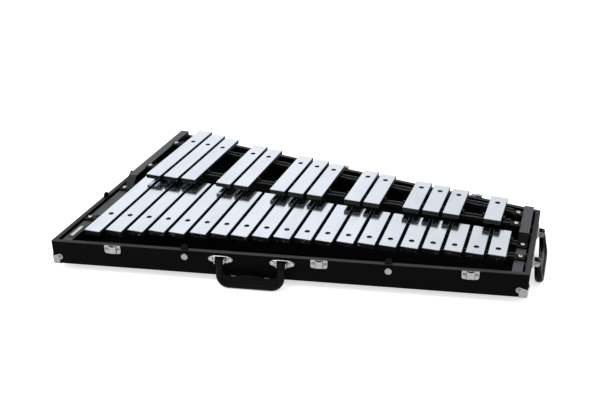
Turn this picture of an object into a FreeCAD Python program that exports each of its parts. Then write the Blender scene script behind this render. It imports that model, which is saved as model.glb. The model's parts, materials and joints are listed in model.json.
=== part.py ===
import FreeCAD, Part
import math
import os
from FreeCAD import Vector

# Bell kit (metal-bar glockenspiel) standing in the lower tray of its tapered carrying case.
# Millimetres. +X runs to the short, high bars, +Y to the row of sharps, +Z up from the table.
# The origin lies on the table under the middle of the bounding box, side handle included.

# ---- tone bars -------------------------------------------------------------------------
BAR_PITCH = 38.0            # centre to centre of neighbouring natural bars
BAR_WIDTH = 31.6
BAR_THICKNESS = 9.0
LOWEST_BAR_LENGTH = 260.0   # F5
SEMITONE_RATIO = 0.9707     # each bar is this fraction of the length a semitone below it
NOTE_COUNT = 34             # F5 up to D8
NATURAL_COUNT = 20
NODE_FRACTION = 0.224       # a free bar's still point, as a fraction of its length
BAR_EDGE = 0.6              # chamfer along every edge of a bar
HOLE_RADIUS = 3.25          # through hole over the outer rail
RECESS_RADIUS = 5.0         # wider upper part of the hole, for the screw head
RECESS_DEPTH = 5.0
ROW_SHIFT = 3.0             # both rows sit this far towards the short end
SHARP_OFFSET = 17.5         # a sharp's centre past the natural on its left
SHARP_TURN = 1.5            # the row of sharps is turned clockwise by this many degrees
SHARP_RISE = 17.3           # tops of the sharps above tops of the naturals

# ---- tray ------------------------------------------------------------------------------
CASE_LENGTH = 848.0
WIDE_END = 552.0            # depth of the tray at the long bars
NARROW_END = 252.0          # depth of the tray at the short bars
WALL_HEIGHT = 47.0
WALL = 9.0
FLOOR = 5.0
FOOT_HEIGHT = 13.5
FOOT_TOP_RADIUS = 11.0
FOOT_BOTTOM_RADIUS = 10.0
FOOT_INSET = 34.0
CORNER_ROUND = 3.2          # rounding of the tray's upright outer edges
LOWER_ROUND = 3.0           # and of its lower ones
SKIN = 1.2                  # thickness of the stamped corner pieces
FLAP = 13.8                 # size of a corner piece along each edge
EAR_RADIUS = 5.8
EAR_ALONG = 14.4
EAR_UP = 15.5
NECK_RISE = 2.2             # neck of an ear above the flap, at the tray's upright edge
NECK_ANGLE = 35.0
NECK_NOTCH = 1.0

# ---- frame under the bars ----------------------------------------------------------------
BOARD_WIDTH = 18.0
BOARD_GAP = 4.0             # from an end board to the end wall
BOARD_DROP = 4.0            # top of the end boards below the rim
BOARD_WALL_GAP = 1.0        # from an end board to the front wall
RISER_DROP = 3.4            # top of the riser blocks below the raised rails
WIDE_RISER_FOOT = -17.0     # front of the left riser's sloped nose, on the board
WIDE_RISER_FRONT = 1.5      # and at its top
WIDE_RISER_END = 259.0
NARROW_RISER_FOOT = -14.5
NARROW_RISER_FRONT = -2.0
NARROW_RISER_END = 109.0
CLEAT = 16.0
RAIL_WIDTH = 16.0
RAIL_THICKNESS = 4.1
RAIL_SCREW_INSET = 8.5      # from the end of a rail to its screw
CORD_RADIUS = 2.0
CORD_SPACING = 11.0          # the two cords of a rail, centre to centre
CORD_SLACK = 0.1            # from the cords to the rail below and the bars above
CORD_END_GAP = 18.0         # the cords stop this far from the rail's end
POST_RADIUS = 1.5
POST_BELOW_TOP = 2.0        # guide posts end this far below the tops of their bars
SEAT_DEPTH = 3.6            # depth of the posts and bar screws in a rail
BAR_SCREW_RADIUS = 1.75
BAR_SCREW_HEAD_RADIUS = 4.25
BAR_SCREW_HEAD = 2.5
BAR_SCREW_FREE = 0.3        # from the head down to the step in the bar
FIT = 0.05                  # radial clearance of a shank in its hole

# ---- case hardware -----------------------------------------------------------------------
CATCH_AT = (118.4, 498.0, 762.0)      # along the front wall, from the wide end
CATCH_WIDTH = 30.0
CATCH_HEIGHT = 16.4
CATCH_BOX = 14.0
CATCH_BOX_OUT = 4.2         # face of the raised box out from the wall
CATCH_SCREW_DROP = 7.0      # plate screws below the rim
SCOOP_RADIUS = 8.0          # dip in the box's upper edge
SCOOP_DEPTH = 2.4
LOCATOR_AT_FRONT = (253.1, 620.4)
LOCATOR_AT_WIDE_END = (248.0, 357.0)  # along the end wall, from the back
TONGUE_WIDTH = 14.0
TONGUE_RISE = 9.5           # tops of the lid tongues above the rim
TONGUE_THICKNESS = 4.6
TONGUE_IN = 2.6             # outer face of a tongue in from the wall's outer face
DOWEL_RADIUS = 1.6
DOWEL_DEPTH = 7.0
STUD_DROP = 12.5
STUD_RADIUS = 6.6
STUD_HEAD = 2.5
STEM_RADIUS = 2.0
HINGE_AT = (131.4, 430.5, 729.6)      # along the back wall, from the narrow end
HINGE_WIDTH = 24.0
HINGE_HEIGHT = 20.0
HINGE_AXIS_RISE = 0.8       # hinge axis above the rim
KNUCKLE_RADIUS = 3.6
HINGE_PIN_RADIUS = 1.8
HINGE_SCREW_DROP = 13.0
HINGE_SCREW_SPACING = 14.0
PLATE_LENGTH = 49.5
PLATE_WIDTH = 12.0
PLATE_THICKNESS = 1.0
PLATE_FRONT = -246.0
PLATE_SCREW_INSET = 3.5

# head radius, head height, shank radius, shank length
RAIL_SCREW = (4.1, 3.6, 1.9, 16.0)
CORNER_SCREW = (2.8, 1.2, 1.3, 7.5)
CATCH_SCREW = (2.3, 1.1, 1.3, 7.5)
HINGE_SCREW = (2.6, 1.2, 1.3, 7.5)
PLATE_SCREW = (1.7, 0.8, 0.8, 7.0)

# ---- carrying handles --------------------------------------------------------------------
HANDLE_AT_FRONT = 375.7               # middle of the handle along the front wall
HANDLE_AT_NARROW_END = NARROW_END / 2
HANDLE_SPAN = 112.2                   # between the two pins of a handle
PIVOT_DROP = 12.1                     # pins below the rim
PIVOT_OUT = 9.0                       # pins out from the wall
HANDLE_DROP = 42.5                    # pins down to the middle of the grip
HANDLE_BEND = 18.0
LEG_RADIUS = 6.2
GRIP_RADIUS = 6.4                     # half the grip's thickness
GRIP_HALF_WIDTH = 7.8                 # half its width, out from the wall
EYE_RADIUS = 5.2
EYE_WIDTH = 9.6
COLLAR_RADIUS = 3.3                   # narrow collars either side of a handle eye
COLLAR_WIDTH = 15.2
HANG_ANGLE = 10.0                     # at rest the grip hangs this far out from plumb
WEB_RISE = 4.5                        # inner web along the grip, with a pad in its middle
WEB_THICKNESS = 9.0
WEB_BURIED = 2.0                      # the webs start this far above the grip's middle
PAD_LENGTH = 62.0
PAD_RISE = 7.0
BRACKET_LENGTH = 44.5
BRACKET_HEIGHT = 14.5
BRACKET_TIP = 4.8                     # radius of a bracket's rounded ends
BRACKET_SHOULDER = 11.0               # half the length of its straight upper edge
EAR_HALF = 5.0                        # half the height of a bracket's ears, and of its window
METAL = 1.5                           # thickness of the bracket, ears included
EAR_GAP = 0.2                         # between a handle collar and each ear
BOLT_SPACING = 34.0
BOLT_RADIUS = 2.0
BOLT_HEAD_RADIUS = 3.5
BOLT_HEAD = 2.0
BOLT_END = 0.3                        # a bolt's end past its nut
PIN_RADIUS = 2.0
PIN_HEAD_RADIUS = 3.2
PIN_HEAD = 1.4
NUT_ACROSS = 7.0
NUT_HEIGHT = 3.0

# ---- levels and places worked out from the above -------------------------------------------
FLOOR_Z = FOOT_HEIGHT
RIM_Z = FLOOR_Z + WALL_HEIGHT
BOARD_TOP = RIM_Z - BOARD_DROP
CORD_STACK = 2 * CORD_RADIUS + 2 * CORD_SLACK
NATURAL_RAIL_TOP = BOARD_TOP + RAIL_THICKNESS
NATURAL_UNDER = NATURAL_RAIL_TOP + CORD_STACK
SHARP_UNDER = NATURAL_UNDER + SHARP_RISE
SHARP_RAIL_TOP = SHARP_UNDER - CORD_STACK
PIVOT_Z = RIM_Z - PIVOT_DROP
HALF = CASE_LENGTH / 2
TAPER = (WIDE_END - NARROW_END) / 2 / CASE_LENGTH
TAPER_ANGLE = math.degrees(math.atan(TAPER))
BOARD_OUTER = HALF - WALL - BOARD_GAP
BOARD_INNER = BOARD_OUTER - BOARD_WIDTH
HANG = math.radians(HANG_ANGLE)
GRIP_REACH = math.hypot(GRIP_HALF_WIDTH * math.cos(HANG), GRIP_RADIUS * math.sin(HANG))
SIDE_REACH = PIVOT_OUT + HANDLE_DROP * math.sin(HANG) + GRIP_REACH
CASE_SHIFT = (STUD_HEAD - SIDE_REACH) / 2
UP = Vector(0, 0, 1)
CORNERS = [
    Vector(-HALF, -WIDE_END / 2, 0),
    Vector(HALF, -NARROW_END / 2, 0),
    Vector(HALF, NARROW_END / 2, 0),
    Vector(-HALF, WIDE_END / 2, 0),
]
FRONT, NARROW, BACK, WIDE = range(4)  # a wall is named by the corner it starts from
NOTES = ("f", "fs", "g", "gs", "a", "as", "b", "c", "cs", "d", "ds", "e")

wood_screws = []
screw_holes = []


# ---- helpers -------------------------------------------------------------------------------
def prism(points, base, height):
    """An upright prism over the outline given as (x, y) points."""
    corners = [Vector(x, y, base) for x, y in points]
    outline = Part.makePolygon(corners + corners[:1])
    return Part.Face(outline).extrude(Vector(0, 0, height))


def block(low, high):
    size = [b - a for a, b in zip(low, high)]
    return Part.makeBox(size[0], size[1], size[2], Vector(*low))


def rod(start, axis, radius, length):
    return Part.makeCylinder(radius, length, Vector(*start), Vector(*axis))


def fused(shapes):
    result = shapes[0]
    for shape in shapes[1:]:
        result = result.fuse(shape)
    return result.removeSplitter()


def without(shape, tools):
    return shape.cut(Part.makeCompound(tools)) if tools else shape


def wall_direction(wall):
    step = CORNERS[(wall + 1) % 4] - CORNERS[wall]
    return step.normalize()


def on_wall(shape, wall, along):
    """Moves a shape drawn with the wall's outer face at y = 0 and its inside at +y."""
    moved = shape.copy()
    direction = wall_direction(wall)
    angle = math.degrees(math.atan2(direction.y, direction.x))
    moved.rotate(Vector(0, 0, 0), UP, angle)
    moved.translate(CORNERS[wall] + direction * along)
    return moved


def screw(head_radius, head_height, shank_radius, shank_length):
    """A round-headed screw pointing down, with the underside of its head at z = 0."""
    shank = rod((0, 0, -shank_length), (0, 0, 1), shank_radius, shank_length)
    head = rod((0, 0, 0), (0, 0, 1), head_radius, head_height)
    rim = [edge for edge in head.Edges if edge.BoundBox.ZMin > head_height / 2]
    head = head.makeFillet(head_height * 0.6, rim)
    slot = 0.18 * head_radius
    deep = 0.5 * head_height
    cross = [
        block((-0.6 * head_radius, -slot, deep), (0.6 * head_radius, slot, head_height)),
        block((-slot, -0.6 * head_radius, deep), (slot, 0.6 * head_radius, head_height)),
    ]
    return fused([shank, without(head, [fused(cross)])])


def add_screw(size, place):
    """Adds a wood screw and its hole; place moves a shape from the origin to its seat."""
    head_radius, head_height, shank_radius, shank_length = size
    wood_screws.append(place(screw(*size)))
    hole = rod((0, 0, -shank_length), (0, 0, 1), shank_radius + FIT, shank_length)
    screw_holes.append(place(hole))


def place_down(x, y, z):
    def place(shape):
        shape.translate(Vector(x, y, z))
        return shape
    return place


def place_in_wall(wall, along, height, out):
    """Turns a screw so that it points into the wall, its head out from the outer face."""
    def place(shape):
        shape.rotate(Vector(0, 0, 0), Vector(1, 0, 0), 90)
        shape.translate(Vector(0, -out, height))
        return on_wall(shape, wall, along)
    return place


def save(name, shape):
    moved = shape.copy()
    moved.translate(Vector(CASE_SHIFT, 0, 0))
    moved.exportStep(f"parts/{name}.step")


# ---- rails and the lines the bars are set out on: y = start + slope * x for each --------------
class Line:
    def __init__(self, start, slope):
        self.start = start
        self.slope = slope

    def y(self, x):
        return self.start + self.slope * x


class Rail(Line):
    def __init__(self, start, slope, top, reach):
        super().__init__(start, slope)
        self.top = top
        self.reach = reach

    def solid(self):
        half = RAIL_WIDTH / 2 * math.hypot(1, self.slope)
        ends = (-self.reach, self.reach)
        near = [(x, self.y(x) - half) for x in ends]
        far = [(x, self.y(x) + half) for x in reversed(ends)]
        return prism(near + far, self.top - RAIL_THICKNESS, RAIL_THICKNESS)

    def cords(self):
        reach = self.reach - CORD_END_GAP
        side = CORD_SPACING / 2 * math.hypot(1, self.slope)
        height = self.top + CORD_SLACK + CORD_RADIUS
        axis = Vector(1, self.slope, 0)
        length = 2 * reach * math.hypot(1, self.slope)
        start = [(-reach, self.y(-reach) + s * side, height) for s in (-1, 1)]
        return [rod(point, axis, CORD_RADIUS, length) for point in start]


RAILS = {
    "natural_outer_rail": Rail(-119.5, 0.127, NATURAL_RAIL_TOP, BOARD_OUTER),
    "natural_inner_rail": Rail(-28.8, 0.012, NATURAL_RAIL_TOP, BOARD_OUTER),
    "sharp_inner_rail": Rail(36.2, -0.0345, SHARP_RAIL_TOP, BOARD_INNER),
    "sharp_outer_rail": Rail(122.5, -0.1425, SHARP_RAIL_TOP, BOARD_INNER),
}
NATURAL_HOLES = Line(-121.0, 0.127)   # holes and still points of the bars, close over the rails
NATURAL_STILL = Line(-30.3, 0.019)
SHARP_HOLES = Line(121.0, -0.1425)
SHARP_STILL = Line(30.3, -0.0265)


# ---- tone bars, with the screws that hold them and the posts between them ----------------------
def bar_blank(length):
    blank = Part.makeBox(BAR_WIDTH, length, BAR_THICKNESS, Vector(-BAR_WIDTH / 2, 0, 0))
    return blank.makeChamfer(BAR_EDGE, blank.Edges)


def bar_length(semitones):
    return LOWEST_BAR_LENGTH * SEMITONE_RATIO ** semitones


def natural_bar(x, length):
    """A natural: its rear still point lies on its row's line over the inner rail."""
    front = NATURAL_STILL.y(x) + NODE_FRACTION * length - length
    return cut_bar(length, (x, front), 0.0, NATURAL_HOLES, NATURAL_UNDER)


def sharp_sway(x):
    """How far a sharp leans across between its middle and its row's line of still points."""
    return (SHARP_HOLES.y(x) - SHARP_STILL.y(x)) / 2 * math.tan(math.radians(SHARP_TURN))


def sharp_bar(x, length):
    """A sharp: its front still point lies over the inner rail, and it is slightly turned."""
    turn = math.radians(SHARP_TURN)
    middle = (SHARP_STILL.y(x) + SHARP_HOLES.y(x)) / 2
    front_y = SHARP_STILL.y(x) - NODE_FRACTION * length * math.cos(turn)
    front_x = x + (front_y - middle) * math.tan(turn)
    return cut_bar(length, (front_x, front_y), SHARP_TURN, SHARP_HOLES, SHARP_UNDER)


def cut_bar(length, front, turn, holes, under):
    """Places a bar by the middle of its front end, and drills it where the line of holes crosses."""
    lean = math.tan(math.radians(turn))
    hole_y = (holes.y(front[0]) - holes.slope * lean * front[1]) / (1 - holes.slope * lean)
    hole_x = front[0] + lean * (hole_y - front[1])
    bar = bar_blank(length)
    bar.rotate(Vector(0, 0, 0), UP, -turn)
    bar.translate(Vector(front[0], front[1], under))
    step = under + BAR_THICKNESS - RECESS_DEPTH
    through = rod((hole_x, hole_y, under), (0, 0, 1), HOLE_RADIUS, BAR_THICKNESS)
    recess = rod((hole_x, hole_y, step), (0, 0, 1), RECESS_RADIUS, RECESS_DEPTH)
    rail_top = under - CORD_STACK
    holder = bar_screw(hole_x, hole_y, step + BAR_SCREW_FREE, rail_top)
    return without(bar, [through, recess]), holder, (hole_x, hole_y)


def bar_screw(x, y, head_z, rail_top):
    holder = screw(BAR_SCREW_HEAD_RADIUS, BAR_SCREW_HEAD, BAR_SCREW_RADIUS,
                   head_z - rail_top + SEAT_DEPTH)
    holder.translate(Vector(x, y, head_z))
    return holder


def seat(x, y, rail, radius):
    return rod((x, y, rail.top - SEAT_DEPTH), (0, 0, 1), radius + FIT, SEAT_DEPTH)


def post(x, rail):
    length = CORD_STACK + BAR_THICKNESS - POST_BELOW_TOP + SEAT_DEPTH
    return rod((x, rail.y(x), rail.top - SEAT_DEPTH), (0, 0, 1), POST_RADIUS, length)


def build_bars():
    """All bars, their screws, and the posts, which stand in every gap beside a bar."""
    bars = {}
    screws = []
    seats = {name: [] for name in RAILS}
    gaps = {"natural_inner_rail": {}, "sharp_inner_rail": {}}
    natural = 0
    for semitone in range(NOTE_COUNT):
        note = NOTES[semitone % 12]
        octave = 5 + (semitone + 5) // 12
        length = bar_length(semitone)
        natural_x = (natural - (NATURAL_COUNT - 1) / 2) * BAR_PITCH + ROW_SHIFT
        if len(note) == 1:
            bar, holder, hole = natural_bar(natural_x, length)
            inner, outer = "natural_inner_rail", "natural_outer_rail"
            middle = natural_x
            number = natural
            natural += 1
        else:
            x = natural_x - BAR_PITCH + SHARP_OFFSET
            bar, holder, hole = sharp_bar(x, length)
            inner, outer = "sharp_inner_rail", "sharp_outer_rail"
            middle = x - sharp_sway(x)
            number = natural - 1
        bars[f"bar_{note}{octave}"] = bar
        screws.append(holder)
        seats[outer].append(seat(*hole, RAILS[outer], BAR_SCREW_RADIUS))
        gaps[inner][number] = middle - BAR_PITCH / 2
        gaps[inner][number + 1] = middle + BAR_PITCH / 2
    posts = []
    for name, places in gaps.items():
        for x in places.values():
            posts.append(post(x, RAILS[name]))
            seats[name].append(seat(x, RAILS[name].y(x), RAILS[name], POST_RADIUS))
    return bars, screws, posts, seats


# ---- tray ------------------------------------------------------------------------------------
def inside_corner(index, depth):
    """A corner of the tray's outline moved inward by depth, from both walls that meet there."""
    before = wall_direction((index + 3) % 4)
    after = wall_direction(index)
    opening = math.sin(after.getAngle(before * -1))
    inward = (after - before) * (depth / opening)
    return CORNERS[index] + inward


def outline(depth):
    return [(p.x, p.y) for p in (inside_corner(i, depth) for i in range(4))]


def tray_body(grow):
    """The tray's full outer form, grown by a little, with its outer edges rounded."""
    form = prism(outline(-grow), FLOOR_Z - grow, WALL_HEIGHT + grow)
    upright = [e for e in form.Edges if e.BoundBox.ZLength > WALL_HEIGHT / 2]
    form = form.makeFillet(CORNER_ROUND + grow, upright)
    lower = [e for e in form.Edges if e.BoundBox.ZMax < FLOOR_Z + 1]
    return form.makeFillet(LOWER_ROUND + grow, lower)


def build_walls(body):
    hollow = prism(outline(WALL), FLOOR_Z - 1, WALL_HEIGHT + 2)
    ring = body.cut(hollow)
    walls = []
    for index in range(4):
        following = (index + 1) % 4
        out_a, out_b = inside_corner(index, -WALL), inside_corner(following, -WALL)
        in_a, in_b = inside_corner(index, WALL), inside_corner(following, WALL)
        wedge = [(p.x, p.y) for p in (out_a, out_b, in_b, in_a)]
        walls.append(ring.common(prism(wedge, FLOOR_Z - 1, WALL_HEIGHT + 2)))
    return walls


def ear_cutter(side):
    """The ear's outline on a wall, with the neck that joins it to the corner."""
    ear = rod((side * EAR_ALONG, -5, FLOOR_Z + EAR_UP), (0, 1, 0), EAR_RADIUS, 7)
    angle = math.radians(NECK_ANGLE)
    neck = [
        (-2 * SKIN, FLAP), (-2 * SKIN, FLAP + NECK_RISE),
        (EAR_ALONG - EAR_RADIUS * math.sin(angle), EAR_UP + EAR_RADIUS * math.cos(angle)),
        (EAR_ALONG, EAR_UP), (FLAP - NECK_NOTCH, FLAP - NECK_NOTCH),
    ]
    corners = [Vector(side * x, -5, FLOOR_Z + z) for x, z in neck]
    return ear.fuse(Part.Face(Part.makePolygon(corners + corners[:1])).extrude(Vector(0, 7, 0)))


def build_corners(body):
    """Stamped corner pieces: a skin over each lower corner with an ear on both walls."""
    skin = tray_body(SKIN).cut(body)
    ear_z = FLOOR_Z + EAR_UP
    pieces = []
    for index in range(4):
        before, after = (index + 3) % 4, index
        back_along = (CORNERS[index] - CORNERS[before]).Length
        box = [
            CORNERS[index] + (wall_direction(after) * a) - (wall_direction(before) * b)
            for a, b in ((-FLAP, -FLAP), (FLAP, -FLAP), (FLAP, FLAP), (-FLAP, FLAP))
        ]
        region = prism([(p.x, p.y) for p in box], FLOOR_Z - 5, FLAP + 5)
        ears = [on_wall(ear_cutter(1), after, 0), on_wall(ear_cutter(-1), before, back_along)]
        pieces.append(skin.common(fused([region] + ears)))
        for wall, along in ((after, EAR_ALONG), (before, back_along - EAR_ALONG)):
            add_screw(CORNER_SCREW, place_in_wall(wall, along, ear_z, SKIN))
    return pieces


def build_feet():
    feet = []
    for index in range(4):
        place = inside_corner(index, FOOT_INSET)
        foot = Part.makeCone(FOOT_BOTTOM_RADIUS, FOOT_TOP_RADIUS, FOOT_HEIGHT, place)
        feet.append(foot)
    return feet


# ---- end boards and risers -----------------------------------------------------------------------
def wall_inside_y(x):
    """Distance of the slanting walls' inner faces from the centre line at this x."""
    outer = (WIDE_END + NARROW_END) / 4 - TAPER * x
    return outer - WALL / math.cos(math.radians(TAPER_ANGLE))


def build_end_boards():
    boards = []
    for side, back in ((-1, WIDE_RISER_END), (1, NARROW_RISER_END)):
        outer, inner = side * BOARD_OUTER, side * BOARD_INNER
        front = -min(wall_inside_y(outer), wall_inside_y(inner)) + BOARD_WALL_GAP
        low, high = min(outer, inner), max(outer, inner)
        boards.append(block((low, front, FLOOR_Z + FLOOR), (high, back, BOARD_TOP)))
    return boards


def build_risers():
    """Blocks on the rear half of the end boards, with cleats that carry the raised rails."""
    top = SHARP_RAIL_TOP - RISER_DROP
    cleat_top = SHARP_RAIL_TOP - RAIL_THICKNESS
    risers = []
    for side, foot, front, back in (
        (-1, WIDE_RISER_FOOT, WIDE_RISER_FRONT, WIDE_RISER_END),
        (1, NARROW_RISER_FOOT, NARROW_RISER_FRONT, NARROW_RISER_END),
    ):
        profile = [
            Vector(0, foot, BOARD_TOP),
            Vector(0, back, BOARD_TOP),
            Vector(0, back, top),
            Vector(0, front, top),
        ]
        riser = Part.Face(Part.makePolygon(profile + profile[:1]))
        riser = riser.extrude(Vector(side * BOARD_WIDTH, 0, 0))
        riser.translate(Vector(side * BOARD_INNER, 0, 0))
        pieces = [riser]
        for name in ("sharp_inner_rail", "sharp_outer_rail"):
            y = RAILS[name].y(side * BOARD_INNER)
            near, far = side * BOARD_INNER, side * (BOARD_INNER - CLEAT)
            low, high = min(near, far), max(near, far)
            pieces.append(block((low, y - RAIL_WIDTH / 2 + 1, cleat_top - CLEAT),
                                (high, y + RAIL_WIDTH / 2 - 1, cleat_top)))
        risers.append(fused(pieces))
    return risers


def add_rail_screws():
    for rail in RAILS.values():
        x = rail.reach - RAIL_SCREW_INSET
        for side in (-x, x):
            add_screw(RAIL_SCREW, place_down(side, rail.y(side), rail.top))


# ---- hardware on the walls -----------------------------------------------------------------------
def rounded_plate(width, height, thickness, radius, top):
    """A plate standing on the wall's outer face, rounded at its two lower corners."""
    plate = block((-width / 2, -thickness, top - height), (width / 2, 0, top))
    lower = [
        edge for edge in plate.Edges
        if edge.BoundBox.YLength > thickness / 2 and edge.BoundBox.ZMax < top - height / 2
    ]
    return plate.makeFillet(radius, lower)


def build_catches():
    """Keeper plates: a stamped plate with a raised box, dipped and hollow for the lid's hook."""
    bottom = RIM_Z - CATCH_HEIGHT
    screw_z = RIM_Z - CATCH_SCREW_DROP
    half_box = CATCH_BOX / 2
    catches = []
    for along in CATCH_AT:
        plate = rounded_plate(CATCH_WIDTH, CATCH_HEIGHT, SKIN, 4.5, RIM_Z)
        raised = block((-half_box, -CATCH_BOX_OUT, bottom + 0.6), (half_box, 0, RIM_Z))
        edges = [edge for edge in raised.Edges if edge.BoundBox.YMax < -CATCH_BOX_OUT / 2]
        raised = raised.makeFillet(SKIN, edges)
        scoop = rod((0, -CATCH_BOX_OUT - 1, RIM_Z - SCOOP_DEPTH + SCOOP_RADIUS), (0, 1, 0),
                    SCOOP_RADIUS, CATCH_BOX_OUT + 1 - SKIN)
        pocket = block((-half_box + SKIN, -CATCH_BOX_OUT + SKIN, bottom + 3),
                       (half_box - SKIN, -SKIN, RIM_Z + 1))
        catch = without(fused([plate, raised]), [fused([scoop, pocket])])
        for side in (-1, 1):
            offset = side * (CATCH_WIDTH + CATCH_BOX) / 4
            hole = rod((offset, -SKIN, screw_z), (0, 1, 0), CATCH_SCREW[2] + FIT, SKIN)
            catch = catch.cut(hole)
            add_screw(CATCH_SCREW, place_in_wall(FRONT, along + offset, screw_z, SKIN))
        catches.append(on_wall(catch, FRONT, along))
    return catches


def tongue_solid():
    """A moulded tongue that centres the lid, standing on the rim with a dowel below it."""
    half = TONGUE_WIDTH / 2
    straight = RIM_Z + TONGUE_RISE - half
    profile = Part.Wire([
        Part.makeLine(Vector(-half, TONGUE_IN, RIM_Z), Vector(half, TONGUE_IN, RIM_Z)),
        Part.makeLine(Vector(half, TONGUE_IN, RIM_Z), Vector(half, TONGUE_IN, straight)),
        Part.Arc(Vector(half, TONGUE_IN, straight), Vector(0, TONGUE_IN, straight + half),
                 Vector(-half, TONGUE_IN, straight)).toShape(),
        Part.makeLine(Vector(-half, TONGUE_IN, straight), Vector(-half, TONGUE_IN, RIM_Z)),
    ])
    tongue = Part.Face(profile).extrude(Vector(0, TONGUE_THICKNESS, 0))
    tongue = tongue.makeFillet(1.4, [edge for edge in tongue.Edges if edge.BoundBox.ZMax > straight + 1
                                     and edge.BoundBox.ZMin > RIM_Z + 0.1])
    middle = TONGUE_IN + TONGUE_THICKNESS / 2
    return fused([tongue, rod((0, middle, RIM_Z - DOWEL_DEPTH), (0, 0, 1), DOWEL_RADIUS, DOWEL_DEPTH)])


def build_locators():
    """Tongues on the rim that centre the lid, and a stud through the wall under each."""
    height = RIM_Z - STUD_DROP
    middle = TONGUE_IN + TONGUE_THICKNESS / 2
    head = rod((0, -STUD_HEAD, height), (0, 1, 0), STUD_RADIUS, STUD_HEAD)
    rim = [edge for edge in head.Edges if edge.BoundBox.YMax < -STUD_HEAD / 2]
    head = head.makeFillet(STUD_HEAD * 0.7, rim)
    stud = fused([head, rod((0, 0, height), (0, 1, 0), STEM_RADIUS, WALL)])
    stem_hole = rod((0, 0, height), (0, 1, 0), STEM_RADIUS + FIT, WALL)
    dowel_hole = rod((0, middle, RIM_Z - DOWEL_DEPTH), (0, 0, 1), DOWEL_RADIUS + FIT, DOWEL_DEPTH)
    pieces = []
    holes = []
    places = [(FRONT, along) for along in LOCATOR_AT_FRONT]
    places += [(WIDE, along) for along in LOCATOR_AT_WIDE_END]
    for wall, along in places:
        pieces.append(on_wall(tongue_solid(), wall, along))
        pieces.append(on_wall(stud, wall, along))
        holes.append(on_wall(stem_hole, wall, along))
        holes.append(on_wall(dowel_hole, wall, along))
    return pieces, holes


def build_hinges():
    """Lower halves of lift-off hinges: a leaf, a knuckle near the rim and its free pin."""
    hinges = []
    out = KNUCKLE_RADIUS + 0.4
    axis_z = RIM_Z + HINGE_AXIS_RISE
    half = HINGE_WIDTH / 2
    screw_z = RIM_Z - HINGE_SCREW_DROP
    for along in HINGE_AT:
        leaf = rounded_plate(HINGE_WIDTH, HINGE_HEIGHT, SKIN, 3.0, RIM_Z)
        knuckle = rod((-half, -out, axis_z), (1, 0, 0), KNUCKLE_RADIUS, half)
        pin = rod((-half, -out, axis_z), (1, 0, 0), HINGE_PIN_RADIUS, HINGE_WIDTH - 2)
        bridge = block((-half, -out, RIM_Z - 3), (0, 0, RIM_Z))
        hinge = fused([leaf, knuckle, pin, bridge])
        for side in (-HINGE_SCREW_SPACING / 2, HINGE_SCREW_SPACING / 2):
            hole = rod((side, -SKIN, screw_z), (0, 1, 0), HINGE_SCREW[2] + FIT, SKIN)
            hinge = hinge.cut(hole)
            add_screw(HINGE_SCREW, place_in_wall(BACK, along + side, screw_z, SKIN))
        hinges.append(on_wall(hinge, BACK, along))
    return hinges


def build_name_plate():
    centre = -(BOARD_OUTER + BOARD_INNER) / 2
    top = BOARD_TOP + PLATE_THICKNESS
    plate = block((centre - PLATE_WIDTH / 2, PLATE_FRONT, BOARD_TOP),
                  (centre + PLATE_WIDTH / 2, PLATE_FRONT + PLATE_LENGTH, top))
    upright = [edge for edge in plate.Edges if edge.BoundBox.ZLength > PLATE_THICKNESS / 2]
    plate = plate.makeFillet(1.5, upright)
    for inset in (PLATE_SCREW_INSET, PLATE_LENGTH - PLATE_SCREW_INSET):
        y = PLATE_FRONT + inset
        plate = plate.cut(rod((centre, y, BOARD_TOP), (0, 0, 1), PLATE_SCREW[2] + FIT, PLATE_THICKNESS))
        add_screw(PLATE_SCREW, place_down(centre, y, top))
    return plate


# ---- carrying handles ------------------------------------------------------------------------------
def inner_web(half_length, low, rise):
    """A crowned web on the inner side of the grip."""
    ends = (-half_length, half_length)
    base = low + WEB_BURIED
    top = low + GRIP_RADIUS + rise
    edges = [
        Part.Arc(Vector(ends[0], 0, base), Vector(0, 0, top), Vector(ends[1], 0, base)).toShape(),
        Part.makeLine(Vector(ends[1], 0, base), Vector(ends[0], 0, base)),
    ]
    web = Part.Face(Part.Wire(edges)).extrude(Vector(0, WEB_THICKNESS, 0))
    web.translate(Vector(0, -WEB_THICKNESS / 2, 0))
    return web


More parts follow.
